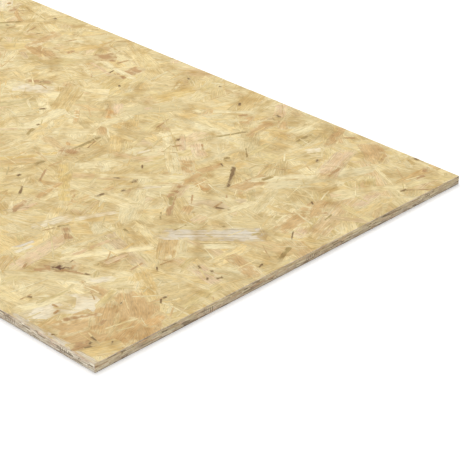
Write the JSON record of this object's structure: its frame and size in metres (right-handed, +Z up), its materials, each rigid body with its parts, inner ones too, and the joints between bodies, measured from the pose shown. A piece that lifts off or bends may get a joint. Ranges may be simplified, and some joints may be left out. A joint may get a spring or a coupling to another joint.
{
  "type": "oriented strand board panel",
  "caption": "Flat rectangular sheet of pressed wood strands with square sawn edges, used for sheathing, flooring, shelving and crates.",
  "frame": {"origin": "middle of the underside, on the floor", "axes": "+X along the length, +Y across the width, +Z up through the thickness"},
  "size_m": [1.22, 0.61, 0.012],
  "materials": {
    "osb": "hot-pressed softwood strands, matt, with a thin resin and wax sheen"
  },
  "bodies": {
    "root": {"osb_panel": "osb"}
  },
  "joints": []
}
